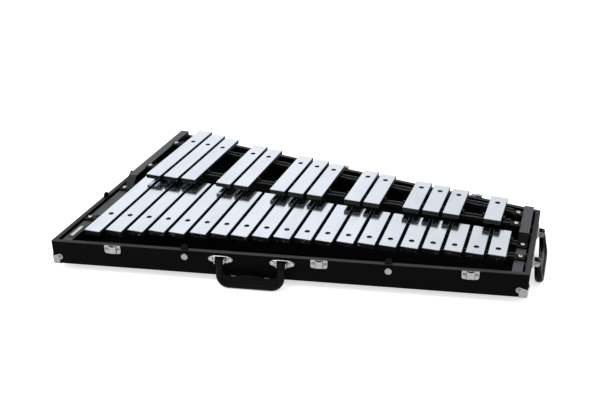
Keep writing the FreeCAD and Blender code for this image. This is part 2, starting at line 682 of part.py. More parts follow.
def handle_solid():
    """The moulded handle, pins along x at the origin, grip hanging down."""
    half = HANDLE_SPAN / 2
    low = -HANDLE_DROP
    bend = HANDLE_BEND * (1 - math.sqrt(0.5))
    points = [
        Vector(-half, 0, 0), Vector(-half, 0, low + HANDLE_BEND),
        Vector(-half + bend, 0, low + bend), Vector(-half + HANDLE_BEND, 0, low),
        Vector(half - HANDLE_BEND, 0, low), Vector(half - bend, 0, low + bend),
        Vector(half, 0, low + HANDLE_BEND), Vector(half, 0, 0),
    ]
    path = Part.Wire([
        Part.makeLine(points[0], points[1]),
        Part.Arc(points[1], points[2], points[3]).toShape(),
        Part.makeLine(points[3], points[4]),
        Part.Arc(points[4], points[5], points[6]).toShape(),
        Part.makeLine(points[6], points[7]),
    ])
    section = Part.Wire(Part.makeCircle(LEG_RADIUS, points[0], Vector(0, 0, -1)))
    tube = path.makePipeShell([section], True, False)
    straight = half - HANDLE_BEND
    oval = Part.Ellipse(Vector(-straight, GRIP_HALF_WIDTH, low),
                        Vector(-straight, 0, low + GRIP_RADIUS), Vector(-straight, 0, low))
    grip = Part.Face(Part.Wire(oval.toShape())).extrude(Vector(2 * straight, 0, 0))
    pieces = [tube, grip, inner_web(straight + HANDLE_BEND / 2, low, WEB_RISE),
              inner_web(PAD_LENGTH / 2, low, PAD_RISE)]
    bores = []
    for x in (-half, half):
        pieces.append(rod((x - EYE_WIDTH / 2, 0, 0), (1, 0, 0), EYE_RADIUS, EYE_WIDTH))
        pieces.append(rod((x - COLLAR_WIDTH / 2, 0, 0), (1, 0, 0), COLLAR_RADIUS, COLLAR_WIDTH))
        bores.append(rod((x - COLLAR_WIDTH, 0, 0), (1, 0, 0), PIN_RADIUS + FIT, 2 * COLLAR_WIDTH))
    return without(fused(pieces), bores)


def bracket_solid():
    """One bracket: a long plate on the wall with two ears bent out of its window."""
    tip = BRACKET_LENGTH / 2 - BRACKET_TIP
    rise = BRACKET_HEIGHT / 2
    shoulder = BRACKET_SHOULDER
    outline_points = [
        (-tip, BRACKET_TIP), (-shoulder, rise), (shoulder, rise), (tip, BRACKET_TIP),
        (tip, -BRACKET_TIP), (shoulder, -rise), (-shoulder, -rise), (-tip, -BRACKET_TIP),
    ]
    corners = [Vector(x, 0, PIVOT_Z + z) for x, z in outline_points]
    plate = Part.Face(Part.makePolygon(corners + corners[:1])).extrude(Vector(0, -METAL, 0))
    ends = [rod((x, 0, PIVOT_Z), (0, -1, 0), BRACKET_TIP, METAL) for x in (-tip, tip)]
    window = COLLAR_WIDTH / 2 + EAR_GAP
    opening = block((-window, -METAL - 1, PIVOT_Z - EAR_HALF), (window, 1, PIVOT_Z + EAR_HALF))
    ears = []
    for side in (-1, 1):
        inner, outer = side * window, side * (window + METAL)
        low, high = min(inner, outer), max(inner, outer)
        ears.append(block((low, -PIVOT_OUT, PIVOT_Z - EAR_HALF), (high, 0, PIVOT_Z + EAR_HALF)))
        ears.append(rod((low, -PIVOT_OUT, PIVOT_Z), (1, 0, 0), EAR_HALF, METAL))
    bracket = fused([plate] + ends).cut(opening)
    bracket = fused([bracket] + ears)
    holes = [rod((-30, -PIVOT_OUT, PIVOT_Z), (1, 0, 0), PIN_RADIUS + FIT, 60)]
    for x in (-BOLT_SPACING / 2, BOLT_SPACING / 2):
        holes.append(rod((x, -METAL - 1, PIVOT_Z), (0, 1, 0), BOLT_RADIUS + FIT, METAL + 2))
    return without(bracket, holes)


def pin_solid():
    reach = COLLAR_WIDTH / 2 + EAR_GAP + METAL
    shank = rod((-reach, -PIVOT_OUT, PIVOT_Z), (1, 0, 0), PIN_RADIUS, 2 * reach)
    heads = [
        rod((x, -PIVOT_OUT, PIVOT_Z), (1, 0, 0), PIN_HEAD_RADIUS, PIN_HEAD)
        for x in (-reach - PIN_HEAD, reach)
    ]
    return fused([shank] + heads)


def bolt_and_nut(x):
    """A bolt through the wall from outside, and its nut on the inner face."""
    bolt = screw(BOLT_HEAD_RADIUS, BOLT_HEAD, BOLT_RADIUS, METAL + WALL + NUT_HEIGHT + BOLT_END)
    bolt.rotate(Vector(0, 0, 0), Vector(1, 0, 0), 90)
    bolt.translate(Vector(x, -METAL, PIVOT_Z))
    radius = NUT_ACROSS / math.sqrt(3)
    angles = [math.radians(60 * step) for step in range(6)]
    ring = [Vector(x + radius * math.cos(a), WALL, PIVOT_Z + radius * math.sin(a)) for a in angles]
    nut = Part.Face(Part.makePolygon(ring + ring[:1])).extrude(Vector(0, NUT_HEIGHT, 0))
    nut = nut.cut(rod((x, WALL - 1, PIVOT_Z), (0, 1, 0), BOLT_RADIUS + FIT, NUT_HEIGHT + 2))
    return [bolt, nut]


def build_handle(wall, along):
    handle = handle_solid()
    handle.rotate(Vector(0, 0, 0), Vector(1, 0, 0), -HANG_ANGLE)
    handle.translate(Vector(0, -PIVOT_OUT, PIVOT_Z))
    fittings = {"handle_brackets": [], "handle_pins": [], "bracket_bolts": []}
    holes = []
    for place in (along - HANDLE_SPAN / 2, along + HANDLE_SPAN / 2):
        fittings["handle_brackets"].append(on_wall(bracket_solid(), wall, place))
        fittings["handle_pins"].append(on_wall(pin_solid(), wall, place))
        for x in (-BOLT_SPACING / 2, BOLT_SPACING / 2):
            for piece in bolt_and_nut(x):
                fittings["bracket_bolts"].append(on_wall(piece, wall, place))
            hole = rod((x, -1, PIVOT_Z), (0, 1, 0), BOLT_RADIUS + FIT, WALL + 2)
            holes.append(on_wall(hole, wall, place))
    return on_wall(handle, wall, along), fittings, holes


# ---- build everything --------------------------------------------------------------------------------
def main():
    os.makedirs("parts", exist_ok=True)
    nodes, bar_screws, posts, seats = build_bars()

    body = tray_body(0.0)
    walls = build_walls(body)
    corner_pieces = build_corners(body)
    catches = build_catches()
    hinges = build_hinges()
    name_plate = build_name_plate()
    locators, locator_holes = build_locators()
    front_handle, front_fittings, front_holes = build_handle(FRONT, HANDLE_AT_FRONT)
    side_handle, side_fittings, side_holes = build_handle(NARROW, HANDLE_AT_NARROW_END)
    add_rail_screws()

    wall_holes = screw_holes + locator_holes + front_holes + side_holes
    for name, wall in zip(("front_wall", "right_wall", "back_wall", "left_wall"), walls):
        nodes[name] = without(wall, wall_holes)
    nodes["bottom_panel"] = prism(outline(WALL + FIT), FLOOR_Z, FLOOR)
    nodes["case_corners"] = Part.makeCompound([without(p, screw_holes) for p in corner_pieces])
    nodes["case_feet"] = Part.makeCompound(build_feet())
    nodes["catch_plates"] = Part.makeCompound(catches)
    nodes["lid_hinges"] = Part.makeCompound(hinges)
    nodes["lid_locators"] = Part.makeCompound(locators)
    nodes["name_plate"] = name_plate

    nodes["end_boards"] = Part.makeCompound([without(b, screw_holes) for b in build_end_boards()])
    nodes["riser_blocks"] = Part.makeCompound([without(r, screw_holes) for r in build_risers()])
    cords = []
    for name, rail in RAILS.items():
        nodes[name] = without(rail.solid(), seats[name] + screw_holes)
        cords += rail.cords()
    nodes["bar_cords"] = Part.makeCompound(cords)
    nodes["bar_screws"] = Part.makeCompound(bar_screws)
    nodes["guide_posts"] = Part.makeCompound(posts)
    nodes["wood_screws"] = Part.makeCompound(wood_screws)

    nodes["front_handle"] = front_handle
    nodes["side_handle"] = side_handle
    for name in front_fittings:
        nodes[name] = Part.makeCompound(front_fittings[name] + side_fittings[name])

    for name, shape in nodes.items():
        save(name, shape)


main()
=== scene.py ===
import json
import math
import random

import bmesh
import bpy
from mathutils import Matrix, Vector


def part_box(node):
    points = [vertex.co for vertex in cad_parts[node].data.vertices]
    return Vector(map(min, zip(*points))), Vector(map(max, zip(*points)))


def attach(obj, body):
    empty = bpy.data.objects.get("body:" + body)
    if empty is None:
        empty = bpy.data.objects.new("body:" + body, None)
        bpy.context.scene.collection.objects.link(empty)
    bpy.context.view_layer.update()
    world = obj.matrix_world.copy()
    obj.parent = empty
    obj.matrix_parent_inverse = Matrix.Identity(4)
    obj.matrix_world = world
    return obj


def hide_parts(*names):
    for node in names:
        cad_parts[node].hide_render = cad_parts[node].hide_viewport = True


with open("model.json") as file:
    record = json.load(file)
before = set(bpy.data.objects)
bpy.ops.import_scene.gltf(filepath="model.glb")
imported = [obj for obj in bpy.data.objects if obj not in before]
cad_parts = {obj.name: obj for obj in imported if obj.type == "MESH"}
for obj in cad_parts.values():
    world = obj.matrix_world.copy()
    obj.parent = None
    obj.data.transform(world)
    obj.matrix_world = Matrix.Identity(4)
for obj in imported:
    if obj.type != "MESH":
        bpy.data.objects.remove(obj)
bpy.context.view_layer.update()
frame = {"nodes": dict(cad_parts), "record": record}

NODES = frame["nodes"]
JOINTS = frame["record"]["behaviour"]["joints"]
MM = 0.001
UP = Vector((0, 0, 1))
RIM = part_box("front_wall")[1][2]    # height of the case's rim

# The carrying handles, with the same sizes as in the CAD source.
PIVOT_OUT = 9.0 * MM                # hinge line out from a wall
HANDLE_SPAN = 112.2 * MM            # between the middles of the two eyes
HANDLE_DROP = 42.5 * MM             # from the hinge line to the grip's middle line
HANDLE_BEND = 18.0 * MM             # radius of each bend's middle line
HANG_ANGLE = math.radians(10.0)     # out from plumb
LEG_RADIUS = 6.2 * MM
GRIP_RADIUS = 6.4 * MM              # half the grip's thickness, in the handle's plane
GRIP_HALF_WIDTH = 7.8 * MM          # across the handle's plane
EYE_RADIUS = 5.2 * MM
EYE_WIDTH = 9.6 * MM

CAD_SMOOTH_ANGLE = math.radians(28.0)
PIECE_SMOOTH_ANGLE = math.radians(38.0)


# ---- places read from the frame ------------------------------------------------------------
def islands(name):
    """The vertex coordinates of each separate solid in a CAD node."""
    mesh = bmesh.new()
    mesh.from_mesh(NODES[name].data)
    bmesh.ops.remove_doubles(mesh, verts=mesh.verts, dist=1e-6)
    groups = []
    seen = set()
    for start in mesh.verts:
        if start in seen:
            continue
        seen.add(start)
        queue = [start]
        group = []
        while queue:
            vertex = queue.pop()
            group.append(vertex.co.copy())
            for edge in vertex.link_edges:
                other = edge.other_vert(vertex)
                if other not in seen:
                    seen.add(other)
                    queue.append(other)
        groups.append(group)
    mesh.free()
    return groups


def limits(points):
    low = Vector(min(p[axis] for p in points) for axis in range(3))
    high = Vector(max(p[axis] for p in points) for axis in range(3))
    return low, high


BAR_HOLDERS = [limits(group) for group in islands("bar_screws")]


def hole_of(node):
    """The middle of the bar screw that stands within this bar."""
    low, high = limits([vertex.co for vertex in node.data.vertices])
    for start, end in BAR_HOLDERS:
        middle = (start + end) / 2
        inside = low.x < middle.x < high.x and low.y < middle.y < high.y
        if inside and low.z < end.z < high.z:
            return middle
    return low


def wall_places():
    """A point on each carrying handle's hinge line, and the way out from its wall."""
    places = []
    for joint in JOINTS:
        outward = Vector((-joint["axis"][1], joint["axis"][0], 0.0))
        places.append((Vector(joint["pos_m"]), outward))
    return places


# ---- shader nodes --------------------------------------------------------------------------
class Shader:
    """A principled material with short calls for the nodes that feed it."""

    def __init__(self, name):
        self.material = bpy.data.materials.new(name)
        self.material.use_nodes = True
        self.tree = self.material.node_tree
        self.surface = self.tree.nodes["Principled BSDF"]
        self.place = self.node("ShaderNodeNewGeometry")

    def node(self, kind, values=None, **settings):
        made = self.tree.nodes.new(kind)
        for key, value in settings.items():
            setattr(made, key, value)
        for key, value in (values or {}).items():
            self.link(value, made.inputs[key])
        return made

    def link(self, value, socket):
        if isinstance(value, bpy.types.NodeSocket):
            self.tree.links.new(value, socket)
        else:
            socket.default_value = value

    def set(self, **values):
        for key, value in values.items():
            self.link(value, self.surface.inputs[key.replace("_", " ")])

    def math(self, operation, a, b=0.0):
        return self.node("ShaderNodeMath", {0: a, 1: b}, operation=operation).outputs[0]

    def vector(self, operation, a, b=(0, 0, 0)):
        made = self.node("ShaderNodeVectorMath", {0: a, 1: b}, operation=operation)
        return made.outputs["Value" if operation in ("LENGTH", "DOT_PRODUCT") else "Vector"]

    def ramp(self, value, low, high, to_low=0.0, to_high=1.0):
        """A soft step, from to_low at low to to_high at high."""
        made = self.node("ShaderNodeMapRange", {0: value, 1: low, 2: high, 3: to_low, 4: to_high})
        made.interpolation_type = "SMOOTHSTEP"
        return made.outputs[0]

    def mix(self, factor, a, b):
        made = self.node("ShaderNodeMix", data_type="RGBA")
        self.link(factor, made.inputs[0])
        self.link(a, made.inputs[6])
        self.link(b, made.inputs[7])
        return made.outputs[2]

    def point(self):
        """The surface point in metres."""
        return self.node("ShaderNodeTexCoord").outputs["Object"]

    def height(self):
        return self.axis(self.point(), "Z")

    def noise(self, scale, detail=3.0, roughness=0.55, stretch=(1, 1, 1)):
        made = self.node("ShaderNodeTexNoise", {
            "Vector": self.vector("MULTIPLY", self.point(), stretch),
            "Scale": scale, "Detail": detail, "Roughness": roughness,
        })
        return made.outputs["Fac"]

    def cells(self, scale):
        made = self.node("ShaderNodeTexVoronoi", {"Vector": self.point(), "Scale": scale})
        return made.outputs["Distance"]

    def axis(self, socket, name):
        return self.node("ShaderNodeSeparateXYZ", {0: socket}).outputs[name]

    def bump(self, height, strength, distance, round_edges=0.0):
        values = {"Height": height, "Strength": strength, "Distance": distance}
        if round_edges:
            values["Normal"] = self.soft_edge(round_edges)
        self.set(Normal=self.node("ShaderNodeBump", values).outputs[0])

    def crevice(self, reach, low=0.35, high=0.95):
        """0 in tight inner corners, 1 on open faces."""
        made = self.node("ShaderNodeAmbientOcclusion", {"Distance": reach}, samples=8)
        return self.ramp(made.outputs["AO"], low, high)

    def soft_edge(self, radius):
        return self.node("ShaderNodeBevel", {"Radius": radius}, samples=4).outputs[0]


def colour(red, green, blue):
    return (red, green, blue, 1.0)


# ---- materials -----------------------------------------------------------------------------
def grained_vinyl():
    """Black leather-cloth over the case's plywood; the rim's top is painted lighter as a reflection of
    the light above, and upward faces deep in the case are painted darker as shade.
    """
    s = Shader("grained_vinyl")
    grain = s.cells(1100.0)
    wear = s.noise(60.0, detail=4.0)
    upward = s.ramp(s.axis(s.place.outputs["True Normal"], "Z"), 0.55, 0.85)
    # from just below the rim up, upward faces are painted lighter: a painted reflection
    rim_reflection_height = RIM - 4.0 * MM
    high_up = s.ramp(s.height(), rim_reflection_height, rim_reflection_height + 2.0 * MM)
    top = s.math("MULTIPLY", upward, high_up)
    # upward faces lower in the case are painted darker: painted shade
    deep_shade = s.math("MULTIPLY", upward, s.math("SUBTRACT", 1.0, high_up))
    side = s.mix(wear, colour(0.0009, 0.0009, 0.0011), colour(0.0018, 0.0018, 0.0021))
    side = s.mix(deep_shade, side, colour(0.0006, 0.0006, 0.0007))
    # the rim's lighter colour is a painted reflection
    rim = s.mix(wear, colour(0.021, 0.0205, 0.0235), colour(0.032, 0.031, 0.035))
    s.set(Base_Color=s.mix(top, side, rim))
    s.set(Roughness=s.ramp(wear, 0.3, 0.7, 0.55, 0.70))
    s.set(Specular_IOR_Level=s.ramp(top, 0.0, 1.0, 0.028, 0.30))
    pores = s.math("MULTIPLY", s.noise(2600.0, detail=2.0), 0.5)
    s.bump(s.math("ADD", grain, pores), strength=0.35, distance=0.3 * MM, round_edges=0.9 * MM)
    return s.material


def painted_board():
    """Dark satin paint over wood, with a faint grain along the board; its sides and slopes are painted
    far darker than its tops, as painted shade.
    """
    s = Shader("painted_board")
    grain = s.noise(90.0, detail=5.0, roughness=0.6, stretch=(6.0, 0.5, 6.0))
    # faces that do not face up are painted near-black: painted shade on the sides and slopes
    top = s.ramp(s.axis(s.place.outputs["True Normal"], "Z"), 0.52, 0.99)
    side = s.mix(grain, colour(0.0020, 0.0020, 0.0024), colour(0.0045, 0.0045, 0.005))
    face = s.mix(grain, colour(0.050, 0.051, 0.057), colour(0.070, 0.071, 0.079))
    s.set(Base_Color=s.mix(top, side, face), Roughness=0.5)
    s.set(Specular_IOR_Level=s.ramp(top, 0.0, 1.0, 0.06, 0.35))
    s.bump(grain, strength=0.15, distance=0.2 * MM, round_edges=0.8 * MM)
    return s.material


RECESS_RADIUS = 5.0 * MM        # round the screw in the top of each bar


def end_shade_and_saw_marks(s, end):
    """The colour of a bar's end: near-black as painted shade, smudged where it was sawn, and darker all
    over on the far row as painted shade; other dark faces get plain painted shade.
    """
    saw = s.noise(170.0, detail=6.0, roughness=0.75, stretch=(0.9, 0.6, 1.6))
    blotch = s.ramp(s.noise(90.0, detail=4.0, roughness=0.65), 0.45, 0.62)
    near = s.mix(s.ramp(saw, 0.53, 0.66), colour(0.005, 0.004, 0.004), colour(0.27, 0.23, 0.19))
    near = s.mix(blotch, colour(0.004, 0.004, 0.004), near)
    far = s.mix(saw, colour(0.003, 0.003, 0.003), colour(0.035, 0.030, 0.026))
    # the far row's ends are painted darker still: painted shade
    far_row_shade = s.ramp(s.axis(s.point(), "Y"), -20.0 * MM, 0.0)
    # faces that are not ends get a near-black colour: painted shade
    sawn = s.mix(end, colour(0.006, 0.006, 0.007), s.mix(far_row_shade, near, far))
    return sawn, s.math("MULTIPLY", saw, end)


def bar_metal():
    """Satin plated steel, brushed along the bar; its sawn ends, sides, chamfers and hole are painted
    near-black as shade.
    """
    s = Shader("bar_metal")
    brushed = s.noise(500.0, detail=3.0, roughness=0.6, stretch=(3.0, 0.12, 3.0))
    cloudy = s.noise(26.0, detail=3.0, roughness=0.5, stretch=(1.0, 0.35, 1.0))
    smudge = s.ramp(cloudy, 0.40, 0.80)
    tint = s.node("ShaderNodeObjectInfo").outputs["Random"]
    plate = s.mix(smudge, colour(0.785, 0.82, 0.88), colour(0.69, 0.725, 0.79))
    plate = s.mix(s.math("MULTIPLY", tint, 0.35), plate, colour(0.70, 0.735, 0.795))

    normal = s.place.outputs["True Normal"]
    # ends and chamfers facing along the bar: saw marks, and painted shade
    end = s.ramp(s.math("ABSOLUTE", s.axis(normal, "Y")), 0.60, 0.80)
    # upright sides are painted dark as shade
    shaded_upright = s.ramp(s.math("ABSOLUTE", s.axis(normal, "Z")), 0.60, 0.95, 1.0, 0.0)
    sawn, sawn_relief = end_shade_and_saw_marks(s, end)

    recess = s.node("ShaderNodeAttribute", attribute_type="OBJECT", attribute_name="hole")
    away = s.vector("SUBTRACT", s.point(), recess.outputs["Vector"])
    radius = s.vector("LENGTH", s.vector("MULTIPLY", away, (1, 1, 0)))
    # within the hole round the screw the bar is painted black as shade
    hole_shade = s.ramp(radius, RECESS_RADIUS, RECESS_RADIUS + 0.3 * MM, 1.0, 0.0)

    # all these faces take the dark colour: painted shade
    dark = s.math("MAXIMUM", s.math("MAXIMUM", end, shaded_upright), hole_shade)
    black = s.mix(hole_shade, sawn, colour(0.002, 0.002, 0.002))
    s.set(Base_Color=s.mix(dark, plate, black))
    s.set(Metallic=s.math("SUBTRACT", 1.0, s.math("MULTIPLY", dark, 0.75)))
    satin = s.ramp(brushed, 0.3, 0.7, 0.12, 0.17)
    s.set(Roughness=s.math("ADD", satin, s.math("MULTIPLY", dark, 0.40)))
    s.set(Specular_IOR_Level=s.ramp(dark, 0.0, 1.0, 0.5, 0.12))
    rough_end = s.math("MULTIPLY", sawn_relief, 20.0)
    s.bump(s.math("ADD", brushed, rough_end), strength=0.016, distance=0.2 * MM)
    return s.material


def plain_metal(name, light, dark, rough, scale=420.0, edge=0.4 * MM):
    """Plated steel with faint cloudy wear, soft pressed edges and painted shade in its corners."""
    s = Shader(name)
    wear = s.noise(scale, detail=4.0, roughness=0.6)
    plate = s.mix(s.ramp(wear, 0.35, 0.75), colour(*light), colour(*dark))
    # tight corners are painted dark: painted shade
    crevice_shade = s.crevice(2.2 * MM)
    s.set(Base_Color=s.mix(crevice_shade, colour(0.035, 0.030, 0.027), plate), Metallic=1.0)
    s.set(Roughness=s.ramp(wear, 0.3, 0.7, rough, rough + 0.12))
    s.bump(wear, strength=0.10, distance=0.2 * MM, round_edges=edge)
    return s.material


def screw_steel():
    """Bright rail screws above the rim; dull brass-tinted ones in the hardware below it."""
    s = Shader("screw_steel")
    wear = s.noise(800.0, detail=4.0, roughness=0.6)
    above = s.ramp(s.height(), RIM - 1.0 * MM, RIM - 0.4 * MM)
    bright = s.mix(wear, colour(0.84, 0.81, 0.75), colour(0.62, 0.57, 0.50))
    dull = s.mix(wear, colour(0.34, 0.27, 0.21), colour(0.18, 0.14, 0.11))
    steel = s.mix(above, dull, bright)
    # slots and tight corners are painted dark: painted shade
    crevice_shade = s.crevice(1.6 * MM)
    s.set(Base_Color=s.mix(crevice_shade, colour(0.025, 0.020, 0.016), steel), Metallic=1.0)
    s.set(Roughness=s.ramp(wear, 0.3, 0.7, 0.22, 0.34))
    s.bump(wear, strength=0.08, distance=0.2 * MM, round_edges=0.2 * MM)
    return s.material


def bolt_steel():
    """The bracket bolts' bright heads outside the walls, and their dark nuts inside."""
    s = Shader("bolt_steel")
    wear = s.noise(700.0, detail=4.0, roughness=0.6)
    behind = []
    for pivot, outward in wall_places():
        out = s.vector("DOT_PRODUCT", s.vector("SUBTRACT", s.point(), pivot), outward)
        past_wall = s.ramp(out, -15.0 * MM, -14.0 * MM, 1.0, 0.0)
        near_wall = s.ramp(out, -41.0 * MM, -40.0 * MM)
        behind.append(s.math("MULTIPLY", past_wall, near_wall))
    nut = s.math("MAXIMUM", *behind)
    head = s.mix(s.ramp(wear, 0.35, 0.75), colour(0.66, 0.65, 0.62), colour(0.44, 0.42, 0.38))
    # tight corners round the heads are painted dark: painted shade
    head = s.mix(s.crevice(1.8 * MM), colour(0.030, 0.025, 0.020), head)
    s.set(Base_Color=s.mix(nut, head, colour(0.070, 0.068, 0.066)), Metallic=1.0)
    s.set(Roughness=s.ramp(nut, 0.0, 1.0, 0.24, 0.45))
    s.bump(wear, strength=0.08, distance=0.2 * MM, round_edges=0.3 * MM)
    return s.material


def black_plastic(name, base, rough, grain):
    """A dull black moulding with fine pores, cloudy between a base shade and one twice as light."""
    s = Shader(name)
    pores = s.cells(grain)
    cloudy = s.noise(110.0)
    light = tuple(2.0 * value for value in base)
    s.set(Base_Color=s.mix(cloudy, colour(*base), colour(*light)))
    s.set(Roughness=s.ramp(cloudy, 0.3, 0.7, rough, rough + 0.12))
    s.set(Specular_IOR_Level=0.06)
    s.bump(pores, strength=0.20, distance=0.2 * MM)
    return s.material


def rail_paint():
    """Satin black paint with an orange-peel surface and a little dust."""
    s = Shader("rail_paint")
    orange_peel = s.noise(900.0)
    dust = s.ramp(s.noise(200.0, detail=5.0, roughness=0.7), 0.5, 0.8)
    s.set(Base_Color=s.mix(dust, colour(0.0025, 0.0025, 0.003), colour(0.008, 0.008, 0.009)))
    s.set(Roughness=0.45)
    s.set(Specular_IOR_Level=0.10)
    s.bump(orange_peel, strength=0.12, distance=0.2 * MM, round_edges=0.6 * MM)
    return s.material


def braided_cord():
    """Black sleeving whose braid has painted highlights in short slanting stitches on its upper side.
    """
    s = Shader("braided_cord")
    braid = s.node("ShaderNodeTexWave", {
        "Vector": s.vector("MULTIPLY", s.point(), (1.0, 1.0, 1.6)),
        "Scale": 260.0, "Distortion": 1.5, "Detail": 2.0,
    }, bands_direction="DIAGONAL").outputs["Fac"]
    # only the upper side's braid is painted lighter: painted highlight
    upward = s.ramp(s.axis(s.place.outputs["Normal"], "Z"), 0.80, 0.99)
    stitch_highlight = s.math("MULTIPLY", upward, s.ramp(braid, 0.0, 1.0, 0.35, 1.0))
    s.set(Base_Color=s.mix(stitch_highlight, colour(0.0045, 0.0045, 0.0055), colour(0.085, 0.088, 0.098)))
    s.set(Roughness=0.40)
    s.set(Specular_IOR_Level=0.28)
    s.bump(braid, strength=0.45, distance=0.3 * MM)
    return s.material


def locator_pieces():
    """Black moulded tongues above the rim, bright domed studs below it."""
    s = Shader("lid_locators")
    wear = s.noise(300.0, detail=4.0)
    plastic = s.ramp(s.height(), RIM - 1.2 * MM, RIM - 0.8 * MM)
    steel = s.mix(wear, colour(0.30, 0.275, 0.25), colour(0.235, 0.215, 0.195))
    # tight corners round the studs are painted dark: painted shade
    steel = s.mix(s.crevice(2.0 * MM), colour(0.05, 0.04, 0.03), steel)
    black = s.mix(wear, colour(0.0010, 0.0010, 0.0012), colour(0.0025, 0.0025, 0.003))
    s.set(Base_Color=s.mix(plastic, steel, black), Metallic=s.math("SUBTRACT", 1.0, plastic))
    s.set(Specular_IOR_Level=s.ramp(plastic, 0.0, 1.0, 0.5, 0.05))
    s.set(Roughness=s.ramp(plastic, 0.0, 1.0, 0.22, 0.24))
    s.bump(wear, strength=0.06, distance=0.2 * MM, round_edges=0.5 * MM)
    return s.material


def plate_faces():
    """A blank silver strip with fine dimples on a dark ground."""
    s = Shader("name_plate")
    low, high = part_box("name_plate")
    half_length = (high[1] - low[1]) / 2 - 6.5 * MM
    across = s.math("ABSOLUTE", s.math("SUBTRACT", s.axis(s.point(), "X"), (low[0] + high[0]) / 2))
    along = s.math("ABSOLUTE", s.math("SUBTRACT", s.axis(s.point(), "Y"), (low[1] + high[1]) / 2))
    in_width = s.ramp(across, 2.9 * MM, 3.2 * MM, 1.0, 0.0)
    in_length = s.ramp(along, half_length, half_length + 0.4 * MM, 1.0, 0.0)
    strip = s.math("MULTIPLY", in_width, in_length)
    dimples = s.ramp(s.cells(750.0), 0.25, 0.45)
    bright = s.mix(dimples, colour(0.36, 0.36, 0.36), colour(0.74, 0.74, 0.73))
    s.set(Base_Color=s.mix(strip, colour(0.006, 0.0055, 0.005), bright))
    s.set(Metallic=s.math("MULTIPLY", strip, 0.9), Roughness=0.34)
    s.bump(dimples, strength=0.2, distance=0.2 * MM, round_edges=0.3 * MM)
    return s.material


def floor_surface():
    """White board that glows a little, so that it meets the white surround without a line."""
    s = Shader("studio_floor")
    cloudy = s.noise(3.0)
    s.set(Base_Color=s.mix(cloudy, colour(0.93, 0.93, 0.93), colour(0.90, 0.90, 0.90)), Roughness=0.9)
    s.set(Specular_IOR_Level=0.0)
    s.set(Emission_Color=colour(0.97, 0.98, 1.0), Emission_Strength=0.62)
    return s.material


VINYL = grained_vinyl()
BOARD = painted_board()
BAR = bar_metal()
STEEL = plain_metal("plated_steel", (0.32, 0.33, 0.325), (0.24, 0.25, 0.245), 0.22)
# the brackets' lips get far lighter steel than the brackets: painted highlight
LIP_HIGHLIGHT = plain_metal("lip_highlight_steel", (0.80, 0.81, 0.80), (0.66, 0.67, 0.66), 0.20, 800.0, 0.2 * MM)
CORNER = plain_metal("corner_steel", (0.27, 0.28, 0.285), (0.20, 0.205, 0.21), 0.32)
SCREW = screw_steel()
BOLT = bolt_steel()
HOLDER = plain_metal("bar_screw_steel", (0.78, 0.72, 0.64), (0.50, 0.44, 0.37), 0.30, 800.0, 0.2 * MM)
POST = plain_metal("post_steel", (0.10, 0.10, 0.10), (0.06, 0.06, 0.06), 0.40, 800.0, 0.2 * MM)
RAIL = rail_paint()
CORD = braided_cord()
GRIP = black_plastic("handle_plastic", (0.0009, 0.0009, 0.0010), 0.32, 1500.0)
RUBBER = black_plastic("foot_rubber", (0.012, 0.012, 0.012), 0.62, 900.0)
SLEEVE = black_plastic("sleeve_rubber", (0.006, 0.006, 0.007), 0.50, 1200.0)
LOCATOR = locator_pieces()
PLATE = plate_faces()

FINISHES = {
    "front_wall": VINYL, "right_wall": VINYL, "back_wall": VINYL, "left_wall": VINYL,
    "bottom_panel": VINYL, "end_boards": BOARD, "riser_blocks": BOARD,
    "natural_outer_rail": RAIL, "natural_inner_rail": RAIL,
    "sharp_inner_rail": RAIL, "sharp_outer_rail": RAIL,
    "case_corners": CORNER, "catch_plates": STEEL, "lid_hinges": STEEL, "handle_brackets": STEEL,
    "handle_pins": STEEL, "bracket_bolts": BOLT, "bar_screws": HOLDER, "wood_screws": SCREW,
    "guide_posts": POST, "case_feet": RUBBER, "lid_locators": LOCATOR, "name_plate": PLATE,
}


def dress_nodes():
    """Gives the CAD parts that stay their finishes, and smooths their round faces."""
    for name, node in NODES.items():
        is_bar = name.startswith("bar_") and name not in ("bar_cords", "bar_screws")
        finish = BAR if is_bar else FINISHES.get(name)
        if finish is None:
            continue
        node.data.materials.clear()
        node.data.materials.append(finish)
        node.data.shade_smooth()
        node.data.set_sharp_from_angle(angle=CAD_SMOOTH_ANGLE)
        if is_bar:
            node["hole"] = list(hole_of(node))


# ---- making pieces ---------------------------------------------------------------------------
def new_piece(name, mesh, finish, slot_name, body, *replaced):
    """Adds a finished mesh, smooths it, and makes it ride on a CAD body."""
    data = bpy.data.meshes.new(name)
    mesh.normal_update()
    mesh.to_mesh(data)
    mesh.free()
    piece = bpy.data.objects.new(name, data)
    bpy.context.scene.collection.objects.link(piece)
    data.materials.append(finish)
    data.shade_smooth()
    data.set_sharp_from_angle(angle=PIECE_SMOOTH_ANGLE)
    if replaced:
        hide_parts(*replaced)
    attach(piece, body)
    return piece


def skin(mesh, rings):
    """Joins rings of points into a closed surface with flat caps."""
    rows = [[mesh.verts.new(point) for point in ring] for ring in rings]
    for near, far in zip(rows, rows[1:]):
        for index in range(len(near)):
            after = (index + 1) % len(near)
            mesh.faces.new((near[index], near[after], far[after], far[index]))
    mesh.faces.new(list(reversed(rows[0])))
    mesh.faces.new(rows[-1])


def circle(centre, across, other, radius, sides):
    """Points round a centre, in the plane of two unit directions."""
    points = []
    for step in range(sides):
        angle = 2 * math.pi * step / sides
        points.append(centre + (across * math.cos(angle) + other * math.sin(angle)) * radius)
    return points


def lathe(mesh, foot, axis, profile, sides=20):
    """Turns a profile of (height, radius) steps round an axis."""
    axis = axis.normalized()
    across = axis.orthogonal().normalized()
    other = axis.cross(across)
    rings = []
    for height, radius in profile:
        rings.append(circle(foot + axis * height, across, other, radius, sides))
    skin(mesh, rings)


# ---- carrying handles ------------------------------------------------------------------------
HANDLE_SIDES = 72
LEG_STEPS = 6
BEND_STEPS = 12
GRIP_STEPS = 64

